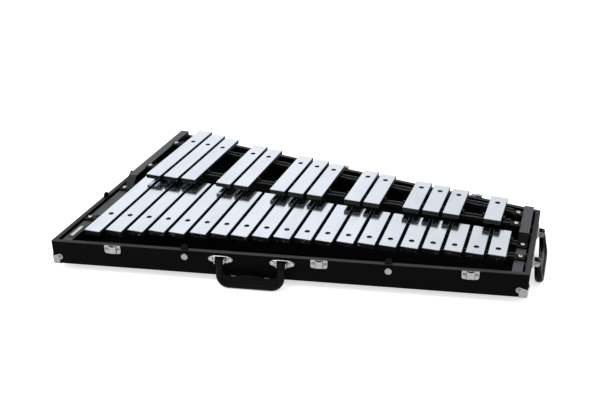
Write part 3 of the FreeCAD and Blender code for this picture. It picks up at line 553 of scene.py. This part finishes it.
WEB_HALF_WIDTH = 3.6 * MM
WEB_RISE = 10.3 * MM                # above the round or oval section that it stands on
BEND_RISE = 12.2 * MM               # the web is higher where it fills a bend
BEND_BLEND = 4.5 * MM               # length over which the one height meets the other
PAD_RISE = 13.0 * MM
PAD_REACH = 26.0 * MM               # half the pad's length
RIDGE_PLACES = (-14.0 * MM, 0.0, 14.0 * MM)
RIDGE_HALF_WIDTH = 3.6 * MM
RIDGE_RISE = 0.6 * MM

GRIP_START = 0.35                   # share of the drop where a leg starts to widen to the grip
GRIP_BLEND = 0.5
WEB_SHOULDER = 0.35                 # how square the web's sides are; 1 is a cosine hump

EYE_EDGE = [(0.0, 1.3 * MM), (0.4 * MM, 0.45 * MM), (1.3 * MM, 0.0)]    # (along, inward) steps
LEG_END_INSET = 1.4 * MM
COLLAR_WIDTH = 15.2 * MM            # nearly fills the gap between two bracket ears
COLLAR_RADIUS = 3.3 * MM


def handle_line():
    """Points (along, up) of the handle's middle line, from one eye down and round to the other."""
    half = HANDLE_SPAN / 2
    low = -HANDLE_DROP
    side = []
    for step in range(LEG_STEPS):
        side.append((-half, (low + HANDLE_BEND) * step / LEG_STEPS))
    for step in range(BEND_STEPS + 1):
        angle = math.radians(90.0 * step / BEND_STEPS)
        side.append((-half + HANDLE_BEND * (1 - math.cos(angle)),
                     low + HANDLE_BEND * (1 - math.sin(angle))))
    straight = HANDLE_SPAN - 2 * HANDLE_BEND
    bottom = []
    for step in range(1, GRIP_STEPS):
        bottom.append((-half + HANDLE_BEND + straight * step / GRIP_STEPS, low))
    return side + bottom + [(-x, z) for x, z in reversed(side)]


def clamp(share):
    return max(0.0, min(1.0, share))


def ease(share):
    share = clamp(share)
    return share * share * (3 - 2 * share)


def web_rise(along, depth):
    """Height of the handle's inner web: it fills the bends, and a pad with finger ridges tops it."""
    straight = HANDLE_SPAN / 2 - HANDLE_BEND
    sunk = (depth - HANDLE_DROP + HANDLE_BEND) / HANDLE_BEND
    if abs(along) > straight:
        return BEND_RISE * ease((sunk + 0.45) / 1.10)
    inward = ease((straight - abs(along)) / BEND_BLEND)
    rise = BEND_RISE + (WEB_RISE - BEND_RISE) * inward
    if abs(along) < PAD_REACH:
        crown = (1 - (along / PAD_REACH) ** 2) ** 0.5
        rise += (PAD_RISE - WEB_RISE) * crown
        for middle in RIDGE_PLACES:
            away = (along - middle) / RIDGE_HALF_WIDTH
            rise += RIDGE_RISE * crown * math.exp(-away * away)
    return rise


def handle_section(on_grip, rise):
    """Points (inward, out) round the handle: round on a leg, wide on the grip, with the web inside."""
    thick = LEG_RADIUS + (GRIP_RADIUS - LEG_RADIUS) * on_grip
    wide = LEG_RADIUS + (GRIP_HALF_WIDTH - LEG_RADIUS) * on_grip
    return section_points(thick, wide, rise)


def section_points(thick, wide, rise):
    """An oval of (inward, out) points with the web's hump on its inner side."""
    web_edge = math.asin(WEB_HALF_WIDTH / GRIP_HALF_WIDTH)
    points = []
    for step in range(HANDLE_SIDES):
        angle = 2 * math.pi * step / HANDLE_SIDES
        reach = math.cos(angle) * thick
        from_inner = min(angle, 2 * math.pi - angle) / web_edge
        if from_inner < 1.0:
            reach += rise * math.cos(from_inner * math.pi / 2) ** WEB_SHOULDER
        points.append((reach, math.sin(angle) * wide))
    return points


def build_handle(name, node, joint_name, body):
    """The moulded grip with its two eyes and pin collars, in place of the CAD handle."""
    joint = next(joint for joint in JOINTS if joint["name"] == joint_name)
    pivot = Vector(joint["pos_m"])
    along = -Vector(joint["axis"])
    outward = Vector((along.y, -along.x, 0.0))
    hang = -UP * math.cos(HANG_ANGLE) + outward * math.sin(HANG_ANGLE)
    face = outward * math.cos(HANG_ANGLE) + UP * math.sin(HANG_ANGLE)

    def at(x, z, out=0.0):
        return pivot + along * x - hang * z + face * out

    mesh = bmesh.new()
    line = handle_line()
    last = len(line) - 1
    rings = []
    for index, (x, z) in enumerate(line):
        before = line[max(index - 1, 0)]
        after = line[min(index + 1, last)]
        run = Vector((after[0] - before[0], 0, after[1] - before[1])).normalized()
        inner = Vector((-run.z, 0, run.x))
        rise = web_rise(x, -z)
        if index in (0, last):
            inset = LEG_RADIUS - LEG_END_INSET
            section = section_points(inset, inset, rise)
        else:
            section = handle_section(clamp((-z / HANDLE_DROP - GRIP_START) / GRIP_BLEND), rise)
        rings.append([at(x + inner.x * reach, z + inner.z * reach, out) for reach, out in section])
    skin(mesh, rings)

    profile = [(step, EYE_RADIUS - inward) for step, inward in EYE_EDGE]
    profile += [(EYE_WIDTH - step, EYE_RADIUS - inward) for step, inward in reversed(EYE_EDGE)]
    collar = [(0.0, COLLAR_RADIUS), (COLLAR_WIDTH, COLLAR_RADIUS)]
    for side in (-1, 1):
        eye = at(side * HANDLE_SPAN / 2, 0.0)
        lathe(mesh, eye - along * EYE_WIDTH / 2, along, profile, 32)
        lathe(mesh, eye - along * COLLAR_WIDTH / 2, along, collar, 24)
    return new_piece(name, mesh, GRIP, "handle_plastic", body, node)


# ---- cords and the posts between the bars ------------------------------------------------------
CORD_RADIUS = 2.0 * MM              # in the CAD
CORD_DRAWN_RADIUS = 1.88 * MM
CORD_END_RADIUS = 1.2 * MM
CORD_STEP = 3.0 * MM
CORD_SIDES = 12
CORD_SWAY = 0.55 * MM               # from side to side
CORD_DRIFT = 0.3 * MM               # a slower sway on top of it
CORD_DIP = 0.12 * MM                # up and down, twice in each sway
SWAY_RATE = 165.0                   # radians per metre along the case
DRIFT_RATE = 71.0


def mean_y(points):
    return sum(point.y for point in points) / len(points)


def cord_rings(group, phase):
    """Rings round one sleeved cord, swaying and dipping a little along its CAD cylinder."""
    low, high = limits(group)
    middle_z = (low.z + high.z) / 2
    y_left = mean_y([point for point in group if point.x < low.x + 2 * CORD_RADIUS])
    y_right = mean_y([point for point in group if point.x > high.x - 2 * CORD_RADIUS])
    length = high.x - low.x
    count = int(length / CORD_STEP)
    rings = []
    for step in range(count + 1):
        share = step / count
        x = low.x + length * share
        sway = CORD_SWAY * math.sin(phase + x * SWAY_RATE)
        drift = CORD_DRIFT * math.sin(phase * 3 + x * DRIFT_RATE)
        dip = CORD_DIP * math.sin(phase + x * 2 * SWAY_RATE)
        y = y_left + (y_right - y_left) * share + (sway + drift)
        centre = Vector((x, y, middle_z + dip))
        radius = CORD_END_RADIUS if step in (0, count) else CORD_DRAWN_RADIUS
        rings.append(circle(centre, Vector((0, 1, 0)), UP, radius, CORD_SIDES))
    return rings


def build_cords():
    """The sleeved cords under the bars, in place of the CAD's straight ones."""
    draw = random.Random(7)
    mesh = bmesh.new()
    for group in islands("bar_cords"):
        skin(mesh, cord_rings(group, draw.uniform(0, 6.28)))
    new_piece("bar_cord_runs", mesh, CORD, "cord", "tray", "bar_cords")


SLEEVE_FOOT = 3.7 * MM              # from a post's foot to its sleeve, above the rail
SLEEVE_GAP = 1.6 * MM               # below the post's top
SLEEVE_BORE = 1.55 * MM
SLEEVE_RADIUS = 2.6 * MM


def build_sleeves():
    """Rubber sleeves on the posts that keep neighbouring bars apart."""
    mesh = bmesh.new()
    for group in islands("guide_posts"):
        low, high = limits(group)
        foot = Vector(((low.x + high.x) / 2, (low.y + high.y) / 2, low.z + SLEEVE_FOOT))
        tall = high.z - foot.z - SLEEVE_GAP
        lathe(mesh, foot, UP, [
            (0.0, SLEEVE_BORE), (0.0, 2.3 * MM), (0.3 * MM, SLEEVE_RADIUS),
            (tall - 0.6 * MM, SLEEVE_RADIUS), (tall - 0.2 * MM, 2.4 * MM), (tall, 2.0 * MM),
            (tall, SLEEVE_BORE),
        ])
    new_piece("post_sleeves", mesh, SLEEVE, "foot_rubber", "tray")


# ---- handle brackets -------------------------------------------------------------------------
BRACKET_HALF = 20.0 * MM
LIP_OUT = 1.5 * MM                  # from the wall
LIP_RADIUS = 0.9 * MM
LIP_THINNING = 0.55                 # share of its radius that the lip loses at its ends
LIP_HEIGHT = 6.5 * MM               # above the hinge line, in the middle
LIP_FALL = 3.2 * MM                 # lower by this at its ends
LIP_STEPS = 20
LIP_SIDES = 12


def build_lips():
    """A rolled lip along the upper edge of each handle bracket, in steel far lighter than the bracket's
    own, as a painted highlight.
    """
    mesh = bmesh.new()
    for pivot, outward in wall_places():
        along = UP.cross(outward)
        for side in (-1, 1):
            middle = pivot + along * side * HANDLE_SPAN / 2 - outward * (PIVOT_OUT - LIP_OUT)
            rings = []
            for step in range(LIP_STEPS + 1):
                turn = -1 + 2 * step / LIP_STEPS
                centre = middle + along * turn * BRACKET_HALF + UP * (LIP_HEIGHT - LIP_FALL * turn ** 4)
                radius = LIP_RADIUS * (1 - LIP_THINNING * turn ** 4)
                rings.append(circle(centre, UP, outward, radius, LIP_SIDES))
            skin(mesh, rings)
    new_piece("bracket_lips", mesh, LIP_HIGHLIGHT, "plated_steel", "tray")


# ---- studio ----------------------------------------------------------------------------------
FLOOR_HALF = 12.0
FLOOR_DROP = 0.3 * MM               # keeps the feet's undersides off the floor's plane

SURROUND_STRENGTH = 0.90
SOFT_BOX_STRENGTH = 1.08
SOFT_BOX_TURN = -23.5               # degrees, counted like the camera's
SOFT_BOX_RISE = 28.0
SOFT_BOX_CORE = 3.0                 # full strength within this angle of its middle
SOFT_BOX_EDGE = 16.0                # none of it beyond this angle

CAMERA_PLACE = Vector((0.43273, -1.429083, 0.83259))
CAMERA_TURN = -18.379               # degrees clockwise from +Y, seen from above
CAMERA_DIP = 26.754
CAMERA_ROLL = 0.223
CAMERA_LENS = 51.15
CAMERA_SENSOR = 36.0


def build_floor():
    mesh = bmesh.new()
    bmesh.ops.create_grid(mesh, x_segments=1, y_segments=1, size=FLOOR_HALF)
    data = bpy.data.meshes.new("studio_floor")
    mesh.to_mesh(data)
    mesh.free()
    floor = bpy.data.objects.new("studio_floor", data)
    floor.location.z = -FLOOR_DROP
    data.materials.append(floor_surface())
    bpy.context.scene.collection.objects.link(floor)


def area_light(name, place, target, size, power):
    light = bpy.data.lights.new(name, "AREA")
    light.shape = "RECTANGLE"
    light.size, light.size_y = size
    light.energy = power
    lamp = bpy.data.objects.new(name, light)
    lamp.location = place
    lamp.rotation_euler = (Vector(target) - Vector(place)).to_track_quat("-Z", "Y").to_euler()
    bpy.context.scene.collection.objects.link(lamp)


def heading(turn, rise):
    """A direction turned clockwise from +Y, seen from above, and lifted above the horizon."""
    turn = math.radians(turn)
    rise = math.radians(rise)
    return Vector((math.sin(turn) * math.cos(rise), math.cos(turn) * math.cos(rise), math.sin(rise)))


def build_surround():
    """A white surround with a soft box, placed so that the camera sees it in the middle bars."""
    world = bpy.data.worlds.new("studio")
    world.use_nodes = True
    tree = world.node_tree
    backdrop = tree.nodes["Background"]
    backdrop.inputs["Color"].default_value = colour(0.97, 0.98, 1.0)
    direction = tree.nodes.new("ShaderNodeTexCoord")
    toward = tree.nodes.new("ShaderNodeVectorMath")
    toward.operation = "DOT_PRODUCT"
    tree.links.new(direction.outputs["Generated"], toward.inputs[0])
    toward.inputs[1].default_value = heading(SOFT_BOX_TURN, SOFT_BOX_RISE)
    glow = tree.nodes.new("ShaderNodeMapRange")
    glow.interpolation_type = "SMOOTHSTEP"
    tree.links.new(toward.outputs["Value"], glow.inputs["Value"])
    glow.inputs["From Min"].default_value = math.cos(math.radians(SOFT_BOX_EDGE))
    glow.inputs["From Max"].default_value = math.cos(math.radians(SOFT_BOX_CORE))
    glow.inputs["To Min"].default_value = SURROUND_STRENGTH
    glow.inputs["To Max"].default_value = SOFT_BOX_STRENGTH
    tree.links.new(glow.outputs[0], backdrop.inputs["Strength"])
    bpy.context.scene.world = world


def build_camera():
    """The photo's camera, as solved from the bars' corners and holes."""
    roll = math.radians(CAMERA_ROLL)
    forward = heading(CAMERA_TURN, -CAMERA_DIP)
    level = forward.cross(UP).normalized()
    down = forward.cross(level)
    right = level * math.cos(roll) + down * math.sin(roll)
    below = down * math.cos(roll) - level * math.sin(roll)
    data = bpy.data.cameras.new("camera")
    data.sensor_width = CAMERA_SENSOR
    data.lens = CAMERA_LENS
    data.clip_end = 60.0
    camera = bpy.data.objects.new("camera", data)
    facing = Matrix((right, -below, -forward)).transposed().to_4x4()
    camera.matrix_world = Matrix.Translation(CAMERA_PLACE) @ facing
    bpy.context.scene.collection.objects.link(camera)
    bpy.context.scene.camera = camera


# ---- the whole scene -------------------------------------------------------------------------
dress_nodes()
build_handle("front_carry_handle_grip", "front_handle", "front_handle_hinge", "front_carry_handle")
build_handle("side_carry_handle_grip", "side_handle", "side_handle_hinge", "side_carry_handle")
build_cords()
build_sleeves()
build_lips()
build_floor()
build_surround()
area_light("key", place=(-0.9, -1.2, 2.4), target=(0, 0, 0), size=(1.6, 1.2), power=20.0)
build_camera()
bpy.context.scene.view_settings.view_transform = "Standard"
